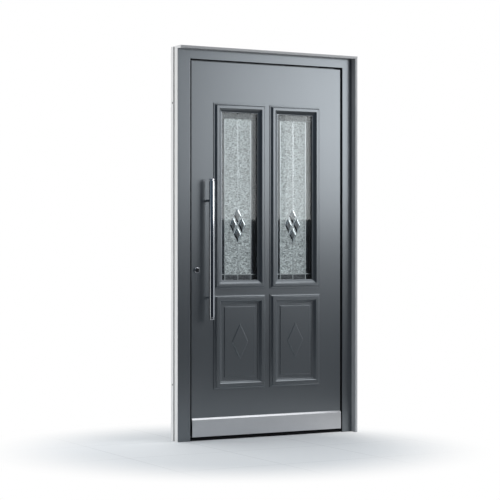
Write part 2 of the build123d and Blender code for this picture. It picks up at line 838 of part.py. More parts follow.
with BuildPart() as hinge_leaf_halves:
    for place_z in hinge_places:
        hinge_half(-1, [(place_z, leaf_knuckle_length)], place_z)
save(hinge_leaf_halves.part, "hinge_leaf_halves")

with BuildPart() as hinge_frame_halves:
    for place_z in hinge_places:
        frame_knuckles = [(place_z + turn * knuckle_step, frame_knuckle_length) for turn in (-1, 1)]
        hinge_half(1, frame_knuckles, place_z)
save(hinge_frame_halves.part, "hinge_frame_halves")

with BuildPart() as hinge_pins:
    for place_z in hinge_places:
        with Locations((hinge_x, hinge_y, place_z)):
            Cylinder(pin_radius, hinge_height + 2 * pin_proud)
save(hinge_pins.part, "hinge_pins")

# Mortise lock: a faceplate in the edge of the lock stile and a hollow case behind it
faceplate_centre_z = (lock_bottom_z + lock_top_z) / 2
faceplate_height = lock_top_z - lock_bottom_z + 2 * faceplate_margin
case_centre_x = faceplate_back_x + lock_case_length / 2


def bolt_ways(centre_x, way_length):
    # Cuts the ways for the latch and the deadbolt out of the part being built.
    for thickness, height, way_z in (
        (latch_thickness, latch_height, lever_height),
        (deadbolt_thickness, deadbolt_height, cylinder_z),
    ):
        with Locations((centre_x, lock_y, way_z)):
            Box(way_length, thickness + 2 * bolt_clearance, height + 2 * bolt_clearance, mode=Mode.SUBTRACT)


with BuildPart() as faceplate:
    with Locations((-lip_half + member_wall / 2, lock_y, faceplate_centre_z)):
        Box(member_wall, faceplate_width, faceplate_height)
    bolt_ways(-lip_half, 2 * member_wall + overrun)
save(faceplate.part, "faceplate")

with BuildPart() as lock_case:
    with Locations((case_centre_x, lock_y, faceplate_centre_z)):
        Box(lock_case_length, lock_case_thickness, lock_top_z - lock_bottom_z)
        Box(
            lock_case_length - 2 * lock_case_wall,
            lock_case_thickness - 2 * lock_case_wall,
            lock_top_z - lock_bottom_z - 2 * lock_case_wall,
            mode=Mode.SUBTRACT,
        )
    bolt_ways(faceplate_back_x, 2 * lock_case_wall + overrun)
    milled_way(cylinder_radius, cylinder_z, lock_y, lock_case_thickness + overrun)
    milled_way(lever_radius, lever_height, lock_y, lock_case_thickness + overrun)
save(lock_case.part, "lock_case")

latch_tip_x = -lip_half - latch_projection
with BuildPart() as latch_bolt:
    with BuildSketch(Plane.XY.offset(lever_height - latch_height / 2)):
        with BuildLine():
            Polyline(
                (latch_tip_x, lock_y + latch_thickness / 2),
                (latch_tip_x + latch_length, lock_y + latch_thickness / 2),
                (latch_tip_x + latch_length, lock_y - latch_thickness / 2),
                (latch_tip_x + latch_bevel, lock_y - latch_thickness / 2),
                (latch_tip_x, lock_y - latch_thickness / 2 + latch_bevel),
                close=True,
            )
        make_face()
    extrude(amount=latch_height)
save(latch_bolt.part, "latch_bolt")

with BuildPart() as deadbolt:
    with Locations((-lip_half + deadbolt_setback + deadbolt_length / 2, lock_y, cylinder_z)):
        Box(deadbolt_length, deadbolt_thickness, deadbolt_height)
save(deadbolt.part, "deadbolt")

# Strike plate over the hardware groove, and the sliding keeper that holds or frees the latch
with BuildPart() as strike_plate:
    strike_y = inner_front_y + strike_edge + strike_width / 2
    with Locations((-inner_edge_x + strike_thickness / 2, strike_y, cylinder_z)):
        Box(strike_thickness, strike_width, strike_height)
    with Locations((-inner_edge_x, lock_y, cylinder_z)):
        Box(
            2 * strike_thickness + overrun,
            deadbolt_thickness + 2 * strike_hole_margin,
            deadbolt_height + 2 * strike_hole_margin,
            mode=Mode.SUBTRACT,
        )
save(strike_plate.part, "strike_plate")

foot_half = hardware_groove_width / 2 - soft_clearance
keeper_front_y = lock_y + latch_thickness / 2 + keeper_latch_gap
with BuildPart() as day_latch:
    with BuildSketch(Plane.XY.offset(lever_height - keeper_length / 2 + keeper_travel)):
        with BuildLine():
            Polyline(
                (-inner_edge_x - keeper_foot_depth, lock_y - foot_half),
                (-inner_edge_x - soft_clearance, lock_y - foot_half),
                (-inner_edge_x - soft_clearance, keeper_front_y),
                (-inner_edge_x + keeper_projection, keeper_front_y),
                (-inner_edge_x + keeper_projection, lock_y + keeper_reach),
                (-inner_edge_x + soft_clearance, lock_y + keeper_reach),
                (-inner_edge_x + soft_clearance, lock_y + foot_half),
                (-inner_edge_x - keeper_foot_depth, lock_y + foot_half),
                close=True,
            )
        make_face()
    extrude(amount=keeper_length)
save(day_latch.part, "day_latch")

# Lock cylinder: a turned rosette outside, the body through the leaf and the plug in it
cylinder_front_y = leaf_front_y - cylinder_proud
cylinder_back_y = leaf_back_y + cylinder_proud
cylinder_length = cylinder_back_y - cylinder_front_y
with BuildPart() as cylinder_rosette:
    with BuildSketch(Plane.XZ.offset(-leaf_front_y)):
        with Locations((spindle_x, cylinder_z)):
            Circle(rosette_radius)
            Circle(cylinder_radius + bolt_clearance, mode=Mode.SUBTRACT)
    extrude(amount=rosette_height)
save(cylinder_rosette.part, "cylinder_rosette")

with BuildPart() as cylinder_body:
    with BuildSketch(Plane.XZ.offset(-cylinder_back_y)):
        with Locations((spindle_x, cylinder_z)):
            Circle(cylinder_radius)
            Circle(plug_radius + plug_clearance, mode=Mode.SUBTRACT)
    extrude(amount=cylinder_length)
save(cylinder_body.part, "cylinder_body")

with BuildPart() as key_plug:
    with BuildSketch(Plane.XZ.offset(-cylinder_back_y)):
        with Locations((spindle_x, cylinder_z)):
            Circle(plug_radius)
    extrude(amount=cylinder_length)
    for keyway_y in (cylinder_front_y, cylinder_back_y):
        with Locations((spindle_x, keyway_y, cylinder_z)):
            Box(keyway_width, 2 * keyway_depth, keyway_height, mode=Mode.SUBTRACT)
save(key_plug.part, "key_plug")

# Lever furniture on the inside
with BuildPart() as inner_backplate:
    with Locations((spindle_x, leaf_back_y + backplate_thickness / 2, (lever_height + cylinder_z) / 2)):
        Box(backplate_width, backplate_thickness, backplate_height)
    chamfer(faces().sort_by(Axis.Y)[-1].edges(), backplate_edge)
    round_way(cylinder_radius, cylinder_z, leaf_back_y, 2 * backplate_thickness + overrun)
    round_way(lever_radius, lever_height, leaf_back_y, 2 * backplate_thickness + overrun)
save(inner_backplate.part, "inner_backplate")

neck_start_y = leaf_back_y + lever_neck_insert
lever_y = leaf_back_y + backplate_thickness + lever_reach
with BuildPart() as lever_handle:
    with BuildLine() as lever_path:
        Polyline(
            (spindle_x, neck_start_y, lever_height),
            (spindle_x, lever_y, lever_height),
            (spindle_x + lever_length, lever_y, lever_height),
        )
    with BuildSketch(Plane.XZ.offset(-neck_start_y)):
        with Locations((spindle_x, lever_height)):
            Circle(lever_radius)
    sweep(path=lever_path.wire(), transition=Transition.RIGHT)
    chamfer(faces().sort_by(Axis.X)[-1].edges(), lever_end_bevel)
save(lever_handle.part, "lever_handle")

with BuildPart() as lever_spindle:
    with Locations((spindle_x, neck_start_y - spindle_length / 2, lever_height)):
        Box(spindle_side, spindle_length, spindle_side)
save(lever_spindle.part, "lever_spindle")
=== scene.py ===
import json
from math import pi, radians

import bmesh
import bpy
from mathutils import Matrix, Vector


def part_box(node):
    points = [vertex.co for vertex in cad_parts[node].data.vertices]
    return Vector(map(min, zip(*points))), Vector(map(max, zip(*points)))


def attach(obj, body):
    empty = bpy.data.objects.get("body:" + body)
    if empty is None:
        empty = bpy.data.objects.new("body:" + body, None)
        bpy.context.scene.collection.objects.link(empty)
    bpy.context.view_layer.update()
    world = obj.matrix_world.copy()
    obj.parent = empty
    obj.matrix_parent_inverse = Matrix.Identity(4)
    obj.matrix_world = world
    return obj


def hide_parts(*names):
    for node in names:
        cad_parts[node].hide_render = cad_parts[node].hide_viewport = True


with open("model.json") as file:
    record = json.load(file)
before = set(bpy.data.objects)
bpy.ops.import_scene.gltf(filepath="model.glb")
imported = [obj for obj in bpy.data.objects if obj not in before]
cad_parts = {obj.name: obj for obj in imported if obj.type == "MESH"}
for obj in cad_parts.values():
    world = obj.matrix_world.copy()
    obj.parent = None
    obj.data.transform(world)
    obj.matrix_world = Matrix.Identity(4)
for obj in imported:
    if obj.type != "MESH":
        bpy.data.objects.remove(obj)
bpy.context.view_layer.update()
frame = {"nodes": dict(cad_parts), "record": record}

nodes = frame["nodes"]
slotOf = {entry["node"]: entry["material_slot"] for entry in frame["record"]["subparts"]}
sides = ("left", "right")
touch = 1e-6  # points nearer than this are one, in metres
scene = bpy.context.scene
scene.view_settings.view_transform = "Standard"
print("frame loaded:", len(nodes), "nodes")


class Wire:  # a shader socket that takes part in plain arithmetic
    def __init__(self, tree, socket=None):
        self.tree = tree
        self.socket = socket

    def node(self, kind, settings=None, values=None, out=0):
        made = self.tree.nodes.new(kind)
        for key, value in (settings or {}).items():
            setattr(made, key, value)
        for key, value in (values or {}).items():
            if isinstance(value, Wire):
                self.tree.links.new(value.socket, made.inputs[key])
            else:
                made.inputs[key].default_value = value
        return Wire(self.tree, made.outputs[out] if len(made.outputs) else None)

    def sum(self, operation, first, second):
        return self.node("ShaderNodeMath", {"operation": operation}, {0: first, 1: second})

    def __add__(self, other):
        return self.sum("ADD", self, other)

    def __radd__(self, other):
        return self.sum("ADD", other, self)

    def __sub__(self, other):
        return self.sum("SUBTRACT", self, other)

    def __rsub__(self, other):
        return self.sum("SUBTRACT", other, self)

    def __mul__(self, other):
        return self.sum("MULTIPLY", self, other)

    def __rmul__(self, other):
        return self.sum("MULTIPLY", other, self)

    def __gt__(self, other):
        return self.sum("GREATER_THAN", self, other)

    def __lt__(self, other):
        return self.sum("LESS_THAN", self, other)

    def __abs__(self):
        return self.sum("ABSOLUTE", self, 0.0)


def newFinish(name):
    made = bpy.data.materials.new(name)
    made.use_nodes = True
    made.node_tree.nodes.clear()
    return made, Wire(made.node_tree)


def objectPlace(wire, stretch=(1, 1, 1)):  # object coordinates in metres, stretched for grain
    place = wire.node("ShaderNodeTexCoord", out="Object")
    return wire.node("ShaderNodeMapping", values={"Vector": place, "Scale": stretch})


def split(wire, vector):  # a vector's three parts
    parts = wire.node("ShaderNodeSeparateXYZ", values={0: vector}).socket.node.outputs
    return [Wire(wire.tree, part) for part in parts]


def splitPlace(wire):
    return split(wire, wire.node("ShaderNodeTexCoord", out="Object"))


def noise(wire, place, scale, detail=2.0, roughness=0.5, distortion=0.0):
    values = {"Vector": place, "Scale": scale, "Detail": detail, "Roughness": roughness, "Distortion": distortion}
    return wire.node("ShaderNodeTexNoise", values=values, out="Fac")


def ramp(wire, value, start, end, curve="SMOOTHSTEP"):  # 0 before start, 1 after end
    values = {0: value, 1: start, 2: end, 3: 0.0, 4: 1.0}
    return wire.node("ShaderNodeMapRange", {"interpolation_type": curve}, values)


def mixColour(wire, factor, first, second):
    return wire.node("ShaderNodeMix", {"data_type": "RGBA"}, {0: factor, 6: first, 7: second}, out=2)


def bump(wire, height, strength, distance):
    return wire.node("ShaderNodeBump", values={"Height": height, "Strength": strength, "Distance": distance})


def surface(wire, values):  # a Principled shader joined to the output
    shader = wire.node("ShaderNodeBsdfPrincipled", values=values)
    wire.node("ShaderNodeOutputMaterial", values={"Surface": shader})


# Finishes: powder coat, metals, polymers and glass

greyPaint = {"dark": (0.165, 0.181, 0.194, 1), "light": (0.203, 0.220, 0.234, 1), "metallic": 0.82, "rough": 0.30}
palePaint = {"dark": (0.50, 0.505, 0.51, 1), "light": (0.57, 0.575, 0.58, 1), "metallic": 0.0, "rough": 0.60}
paintLook = {"leaf_paint": greyPaint, "frame_paint": greyPaint, "casing_paint": palePaint}
paintGrain = {
    "cloudScale": 3.0, "cloudShare": 0.45,
    "grainScale": 700.0, "grainRough": 0.6, "grainShare": 0.55,
    "roughLess": 0.04, "roughSpread": 0.08,
    "peelScale": 210.0, "peelGrain": 0.4, "peelStrength": 0.05, "peelDepth": 0.0006,
}
jointTape = {  # fleece tape on the wall side
    "colour": (0.80, 0.80, 0.79, 1), "halfWidth": 0.5495, "top": 2.0995, "rougher": 0.4,
}
rebateShade = {  # painted shade: the rebate round the leaf's gap is coloured near-black
    "colour": (0.010, 0.011, 0.013, 1), "halfWidth": 0.4745, "top": 2.0345, "rougher": 0.3,
}


def powderCoat(name, look, onFrame):
    made, wire = newFinish(name)
    place = objectPlace(wire)
    cloud = noise(wire, place, paintGrain["cloudScale"])
    grain = noise(wire, place, paintGrain["grainScale"], roughness=paintGrain["grainRough"])
    peel = noise(wire, place, paintGrain["peelScale"])
    mottle = cloud * paintGrain["cloudShare"] + grain * paintGrain["grainShare"]
    colour = mixColour(wire, mottle, look["dark"], look["light"])
    metallic = look["metallic"]
    rough = look["rough"] - paintGrain["roughLess"] + grain * paintGrain["roughSpread"]
    if onFrame:
        across, _, upward = splitPlace(wire)
        wallSide = (abs(across) > jointTape["halfWidth"]) + (upward > jointTape["top"])
        tape = wire.node("ShaderNodeClamp", values={0: wallSide})
        # painted shade: the frame's rebate round the leaf is coloured near-black and not metallic
        rebateShadeMask = (abs(across) < rebateShade["halfWidth"]) * (upward < rebateShade["top"])
        colour = mixColour(wire, tape, colour, jointTape["colour"])
        colour = mixColour(wire, rebateShadeMask, colour, rebateShade["colour"])
        metallic = (1 - tape) * (1 - rebateShadeMask) * metallic
        rough = rough + tape * jointTape["rougher"] + rebateShadeMask * rebateShade["rougher"]
    height = peel + grain * paintGrain["peelGrain"]
    surface(wire, {
        "Base Color": colour,
        "Metallic": metallic,
        "Roughness": rough,
        "Normal": bump(wire, height, paintGrain["peelStrength"], paintGrain["peelDepth"]),
    })
    return made


metalLook = {
    "polished_steel": {
        "dark": (0.60, 0.62, 0.65, 1), "light": (0.74, 0.76, 0.78, 1),
        "rough": 0.10, "grain": (3, 3, 0.2), "scratch": 0.02,
    },
    "satin_steel": {
        "dark": (0.44, 0.45, 0.46, 1), "light": (0.60, 0.61, 0.62, 1),
        "rough": 0.30, "grain": (0.4, 6, 6), "scratch": 0.08,
    },
    "lock_steel": {
        "dark": (0.40, 0.41, 0.42, 1), "light": (0.55, 0.56, 0.57, 1),
        "rough": 0.34, "grain": (5, 5, 5), "scratch": 0.10,
    },
    "kick_plate_metal": {
        "dark": (0.50, 0.51, 0.525, 1), "light": (0.66, 0.67, 0.69, 1),
        "rough": 0.34, "grain": (0.25, 9, 9), "scratch": 0.05,
    },
    # the threshold's near-black colour is partly a dark metal and partly painted shade of the gap under the leaf
    "threshold_metal": {
        "dark": (0.010, 0.010, 0.011, 1), "light": (0.022, 0.022, 0.024, 1),
        "rough": 0.46, "grain": (0.4, 5, 5), "scratch": 0.10,
    },
    "came_metal": {
        "dark": (0.38, 0.40, 0.41, 1), "light": (0.60, 0.62, 0.63, 1),
        "rough": 0.36, "grain": (4, 4, 4), "scratch": 0.12,
        "paintedShade": (0.10, 0.107, 0.112, 1), "paintedShadeFrom": 1.722,  # painted shade: the highest came, under the moulding, is coloured dark
    },
    # dark nickel, made near-black as painted shade of the recessed cylinder face and keyway
    "cylinder_nickel_shade": {
        "dark": (0.035, 0.037, 0.042, 1), "light": (0.085, 0.088, 0.096, 1),
        "rough": 0.30, "grain": (6, 6, 6), "scratch": 0.08,
    },
    "spacer_metal": {
        "dark": (0.10, 0.105, 0.11, 1), "light": (0.16, 0.165, 0.17, 1),
        "rough": 0.45, "grain": (4, 4, 4), "scratch": 0.10,
    },
}
brushing = {
    "streakScale": 130.0, "streakDetail": 4.0, "streakRough": 0.62, "streakShare": 0.6,
    "smearScale": 9.0, "smearDetail": 3.0, "smearRough": 0.55, "smearShare": 0.4,
    "roughLess": 0.05, "streakSpread": 0.06, "smearSpread": 0.04, "depth": 0.0004,
}


def brushedMetal(name, look):
    made, wire = newFinish(name)
    streak = noise(wire, objectPlace(wire, look["grain"]),
                   brushing["streakScale"], brushing["streakDetail"], brushing["streakRough"])
    smear = noise(wire, objectPlace(wire),
                  brushing["smearScale"], brushing["smearDetail"], brushing["smearRough"])
    mottle = streak * brushing["streakShare"] + smear * brushing["smearShare"]
    colour = mixColour(wire, mottle, look["dark"], look["light"])
    # painted shade on the highest came, under the moulding
    if "paintedShade" in look:
        colour = mixColour(wire, splitPlace(wire)[2] > look["paintedShadeFrom"], colour, look["paintedShade"])
    rough = look["rough"] - brushing["roughLess"] + streak * brushing["streakSpread"]
    surface(wire, {
        "Base Color": colour,
        "Metallic": 1.0,
        "Roughness": rough + smear * brushing["smearSpread"],
        "Normal": bump(wire, streak, look["scratch"], brushing["depth"]),
    })
    return made


softLook = {
    "seal_rubber": {"dark": (0.008, 0.008, 0.009, 1), "light": (0.022, 0.022, 0.024, 1), "rough": 0.62},
    "isolator_plastic": {"dark": (0.012, 0.012, 0.013, 1), "light": (0.028, 0.028, 0.030, 1), "rough": 0.52},
    "core_foam": {"dark": (0.55, 0.53, 0.46, 1), "light": (0.72, 0.70, 0.62, 1), "rough": 0.88},
}
polymerGrain = {
    "grainScale": 420.0, "grainDetail": 3.0, "grainRough": 0.6, "grainShare": 0.5,
    "bloomScale": 14.0, "bloomShare": 0.5,
    "roughLess": 0.06, "roughSpread": 0.12, "strength": 0.15, "depth": 0.0004,
}


def mouldedPolymer(name, look):
    made, wire = newFinish(name)
    place = objectPlace(wire)
    grain = noise(wire, place, polymerGrain["grainScale"], polymerGrain["grainDetail"], polymerGrain["grainRough"])
    bloom = noise(wire, place, polymerGrain["bloomScale"])
    mottle = grain * polymerGrain["grainShare"] + bloom * polymerGrain["bloomShare"]
    surface(wire, {
        "Base Color": mixColour(wire, mottle, look["dark"], look["light"]),
        "Roughness": look["rough"] - polymerGrain["roughLess"] + grain * polymerGrain["roughSpread"],
        "Normal": bump(wire, grain, polymerGrain["strength"], polymerGrain["depth"]),
    })
    return made


clearGlass = {
    "tint": (0.94, 0.955, 0.955, 1),
    "gloss": 0.034,  # the mirror share seen straight on
    "mirrorDark": (0.86, 0.90, 0.90, 1), "mirrorLight": (0.95, 0.97, 0.97, 1), "filmScale": 5.0,
    "rough": 0.01, "filmRough": 0.02, "facingBlend": 0.5,
}


def clearPane(name):
    made, wire = newFinish(name)
    film = noise(wire, objectPlace(wire), clearGlass["filmScale"])
    mirror = wire.node("ShaderNodeBsdfPrincipled", values={
        "Base Color": mixColour(wire, film, clearGlass["mirrorDark"], clearGlass["mirrorLight"]),
        "Metallic": 1.0,
        "Roughness": clearGlass["rough"] + film * clearGlass["filmRough"],
    })
    through = wire.node("ShaderNodeBsdfTransparent", values={"Color": clearGlass["tint"]})
    slant = wire.node("ShaderNodeLayerWeight", values={"Blend": clearGlass["facingBlend"]}, out="Facing")
    steep = slant * slant * slant * slant * slant
    gloss = steep * (1 - clearGlass["gloss"]) + clearGlass["gloss"]
    both = wire.node("ShaderNodeMixShader", values={0: gloss, 1: through, 2: mirror})
    wire.node("ShaderNodeOutputMaterial", values={"Surface": both})
    return made


ornamentGlass = {
    "fieldDark": (0.100, 0.110, 0.115, 1),
    "fieldLight": (0.66, 0.705, 0.725, 1),
    # painted shade: the clear border is tinted near-black for the unlit inside seen through it
    "border": (0.030, 0.034, 0.042, 1),
    # darker bands below the lowest came and above the highest; the upper one is painted shade under the moulding
    "band": (0.085, 0.092, 0.10, 1),
    "fieldHalf": 0.080,     # from the window's middle to the side cames
    "fieldFoot": 0.885,     # the lowest came
    "fieldHead": 1.730,     # the highest came
    "grain": (88, 88, 165),
    "rippleRough": 0.55, "rippleBend": 0.7, "rippleShare": 0.8,
    "speckScale": 170.0, "speckRough": 0.6, "speckShare": 0.2,
    "crisp": (0.39, 0.61),  # the narrower, the harder the light and dark of the ripple
    "rough": 0.06, "fieldRough": 0.22, "rippleSpread": 0.12,
    "index": 1.45, "strength": 0.8, "depth": 0.004,
}


def ornamentPane(name, middleX):
    made, wire = newFinish(name)
    across, _, upward = splitPlace(wire)
    field = abs(across - middleX) < ornamentGlass["fieldHalf"]
    over = (upward > ornamentGlass["fieldFoot"]) * (upward < ornamentGlass["fieldHead"])
    ripple = noise(wire, objectPlace(wire, ornamentGlass["grain"]), 1.0,
                   roughness=ornamentGlass["rippleRough"], distortion=ornamentGlass["rippleBend"])
    speck = noise(wire, objectPlace(wire), ornamentGlass["speckScale"], roughness=ornamentGlass["speckRough"])
    crinkle = ripple * ornamentGlass["rippleShare"] + speck * ornamentGlass["speckShare"]
    contrast = ramp(wire, crinkle, *ornamentGlass["crisp"], "LINEAR")
    light = mixColour(wire, contrast, ornamentGlass["fieldDark"], ornamentGlass["fieldLight"])
    # painted shade: the dark border, and the darker bands above and below the cames
    dim = mixColour(wire, contrast * (1 - over) * field, ornamentGlass["border"], ornamentGlass["band"])
    fieldRough = ornamentGlass["fieldRough"] + contrast * ornamentGlass["rippleSpread"]
    surface(wire, {
        "Base Color": mixColour(wire, field * over, dim, light),
        "Roughness": ornamentGlass["rough"] + field * fieldRough,
        "IOR": ornamentGlass["index"],
        "Transmission Weight": 1.0,
        "Normal": bump(wire, crinkle * field, ornamentGlass["strength"], ornamentGlass["depth"]),
    })
    return made


bevelGlass = {
    "dark": (0.50, 0.53, 0.55, 1), "light": (0.62, 0.65, 0.66, 1), "silver": 0.75,
    "flowScale": 16.0, "rough": 0.03, "flowRough": 0.03,
    "middle": (0.115, 0.125, 0.135, 1), "middleRough": 0.34,  # painted shade: the flat middle is dark grey and rough
    "shadedCut": (0.010, 0.011, 0.014, 1),  # painted shade: the cuts that look down and to the left are coloured near-black
    "index": 1.6, "coat": 0.9, "coatRough": 0.02,
}


def bevelledGlass(name):  # silvered, bevel-cut glass
    made, wire = newFinish(name)
    flow = noise(wire, objectPlace(wire), bevelGlass["flowScale"])
    shadedFlat = wire.node("ShaderNodeAttribute", {"attribute_name": "shadedFlat"}, out="Fac")
    shadedCut = wire.node("ShaderNodeAttribute", {"attribute_name": "shadedCut"}, out="Fac")
    bright = (1 - shadedFlat) * (1 - shadedCut)
    colour = mixColour(wire, flow, bevelGlass["dark"], bevelGlass["light"])
    colour = mixColour(wire, shadedFlat, colour, bevelGlass["middle"])
    surface(wire, {
        "Base Color": mixColour(wire, shadedCut, colour, bevelGlass["shadedCut"]),
        "Metallic": bright * bevelGlass["silver"],
        "Roughness": bevelGlass["rough"] + flow * bevelGlass["flowRough"] + shadedFlat * bevelGlass["middleRough"],
        "IOR": bevelGlass["index"],
        "Coat Weight": bright * bevelGlass["coat"],
        "Coat Roughness": bevelGlass["coatRough"],
    })
    return made


finishes = {slot: powderCoat(slot, look, slot != "leaf_paint") for slot, look in paintLook.items()}
finishes.update({slot: brushedMetal(slot, look) for slot, look in metalLook.items()})
finishes.update({slot: mouldedPolymer(slot, look) for slot, look in softLook.items()})
finishes["clear_glass"] = clearPane("clear_glass")
finishes["bevel_glass"] = bevelledGlass("bevel_glass")
windowX = {side: sum(end.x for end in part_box(f"{side}_ornament_pane")) / 2 for side in sides}
ornamentFinish = {side: ornamentPane(f"ornament_glass_{side}", x) for side, x in windowX.items()}
# the cylinder face and plug take the dark nickel with painted shade of the recess
darkNodes = {"cylinder_body": "cylinder_nickel_shade", "key_plug": "cylinder_nickel_shade"}


def finishOf(nodeName):
    slot = slotOf[nodeName]
    if slot == "ornament_glass":
        return ornamentFinish[nodeName.split("_")[0]]
    return finishes[darkNodes.get(nodeName, slot)]


for nodeName, node in nodes.items():
    if not node.material_slots:
        node.data.materials.append(finishOf(nodeName))
    for held in node.material_slots:
        held.material = finishOf(nodeName)
print("finishes made:", len(finishes) + len(ornamentFinish))


# Modelling helpers

def finishPiece(mesh, name, body, slot, replaced=(), sharp=25):
    data = bpy.data.meshes.new(name)
    mesh.to_mesh(data)
    mesh.free()
    data.shade_smooth()
    data.set_sharp_from_angle(angle=radians(sharp))
    piece = bpy.data.objects.new(name, data)
    scene.collection.objects.link(piece)
    data.materials.append(finishes[slot])
    flats = piece.modifiers.new("flat_faces", "WEIGHTED_NORMAL")  # keeps the flats flat beside eased arrises
    flats.keep_sharp = True
    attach(piece, body)
    if replaced:
        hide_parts(*replaced)


def roundOver(mesh, edges, width, steps):
    bmesh.ops.bevel(
        mesh, geom=edges, offset=width, offset_type="OFFSET", segments=steps, profile=0.5,
        affect="EDGES", clamp_overlap=True, material=-1,
    )


def runsAlong(edge, axis):
    run = edge.verts[1].co - edge.verts[0].co
    return abs(run.normalized().dot(Vector(axis))) > 0.99


def easeEdges(mesh, width, steps=2, angle=28, along=None):  # rounds edges that turn by more than the angle
    crisp = [edge for edge in mesh.edges if edge.is_manifold and edge.calc_face_angle(0.0) > radians(angle)]
    if along:
        crisp = [edge for edge in crisp if runsAlong(edge, along)]
    roundOver(mesh, crisp, width, steps)


def edgesAt(mesh, axis, level):  # the edges in a plane across an axis
    return [edge for edge in mesh.edges if all(abs(vert.co[axis] - level) < touch for vert in edge.verts)]


def stepFace(mesh, face, run, rise):  # insets a face by the run and lifts it by the rise
    bmesh.ops.inset_region(
        mesh, faces=[face], thickness=run, depth=rise, use_boundary=True, use_even_offset=True,
    )


def turned(points, centre, axis, steps=64):  # a closed turned piece from (radius, distance along the axis) points
    mesh = bmesh.new()
    spine = Vector(axis).normalized()
    side = spine.orthogonal().normalized()
    chain = [mesh.verts.new(Vector(centre) + side * radius + spine * along) for radius, along in points]
    edges = [mesh.edges.new(pair) for pair in zip(chain, chain[1:])]
    bmesh.ops.spin(
        mesh, geom=chain + edges, cent=centre, axis=spine, angle=2 * pi, steps=steps, use_merge=True,
    )
    bmesh.ops.remove_doubles(mesh, verts=mesh.verts, dist=touch)
    bmesh.ops.recalc_face_normals(mesh, faces=mesh.faces)
    return mesh


def rectangle(size):  # one face, as wide as size.x and as tall as size.z, lying flat
    mesh = bmesh.new()
    bmesh.ops.create_grid(mesh, x_segments=1, y_segments=1, size=0.5)
    bmesh.ops.scale(mesh, vec=(size.x, size.z, 1), verts=mesh.verts)
    mesh.faces.ensure_lookup_table()
    return mesh, mesh.faces[0]


def addMesh(mesh, other):  # joins a second bmesh into the first
    data = bpy.data.meshes.new("joining")
    other.to_mesh(data)
    other.free()
    mesh.from_mesh(data)
    bpy.data.meshes.remove(data)


def softened(nodeName, width, steps, angle, along=None):  # a CAD node's own shape with eased arrises
    mesh = bmesh.new()
    mesh.from_mesh(nodes[nodeName].data)
    bmesh.ops.remove_doubles(mesh, verts=mesh.verts, dist=touch)
    bmesh.ops.dissolve_limit(mesh, angle_limit=radians(1), verts=mesh.verts, edges=mesh.edges)
    easeEdges(mesh, width, steps, angle, along)
    return mesh


# Flat-faced pieces with eased arrises

easedPieces = {
    "kick_plate": {"body": "leaf", "ease": 0.0007},
    "inner_backplate": {"body": "leaf", "ease": 0.0008},
    "faceplate": {"body": "leaf", "ease": 0.0005},
    "latch_bolt": {"body": "latch", "ease": 0.0006},
    "deadbolt": {"body": "bolt", "ease": 0.0006},
    "strike_plate": {"body": "frame", "ease": 0.0004},
    "day_latch": {"body": "keeper", "ease": 0.0008},
    "threshold": {"body": "frame", "ease": 0.0010},
    "left_came_grid": {"body": "leaf", "ease": 0.0009},
    "right_came_grid": {"body": "leaf", "ease": 0.0009},
    "hinge_leaf_halves": {"body": "leaf", "ease": 0.0006},
    "hinge_frame_halves": {"body": "frame", "ease": 0.0006},
    "left_jamb_outer": {"body": "frame", "ease": 0.0016, "along": (0, 0, 1)},
    "right_jamb_outer": {"body": "frame", "ease": 0.0016, "along": (0, 0, 1)},
    "head_outer": {"body": "frame", "ease": 0.0016, "along": (1, 0, 0)},
}
arris = {"steps": 2, "angle": 20}
for nodeName, piece in easedPieces.items():
    mesh = softened(nodeName, piece["ease"], arris["steps"], arris["angle"], piece.get("along"))
    finishPiece(mesh, "eased_" + nodeName, piece["body"], slotOf[nodeName], [nodeName])
print("eased pieces:", len(easedPieces))


# Bevel-cut diamonds: hard facets round a flat middle, with painted shade on the middle and on the cuts that look
# down and to the left

diamondCut = {
    "ease": 0.0003, "easeSteps": 1, "easeAngle": 12, "sharp": 8,
    "shadedFlatBelow": -0.99, "shadedCutBelow": -0.05,  # parts of a face's normal
}
for side in sides:
    nodeName = f"{side}_bevel_diamonds"
    mesh = softened(nodeName, diamondCut["ease"], diamondCut["easeSteps"], diamondCut["easeAngle"])
    marks = mesh.faces.layers.float
    for mark in ("shadedFlat", "shadedCut"):
        marks.new(mark)
    shadedFlat, shadedCut = marks["shadedFlat"], marks["shadedCut"]
    for face in mesh.faces:
        face.normal_update()
        # painted shade on the flat middle
        face[shadedFlat] = float(face.normal.y < diamondCut["shadedFlatBelow"])
        # painted shade on the cuts that look down and to the left
        face[shadedCut] = float(max(face.normal.x, face.normal.z) < diamondCut["shadedCutBelow"])
    finishPiece(mesh, f"cut_diamonds_{side}", "leaf", "bevel_glass", [nodeName], diamondCut["sharp"])


# Cassette panels: a plate, a field raised on a short slope and a rhombus with rounded arrises

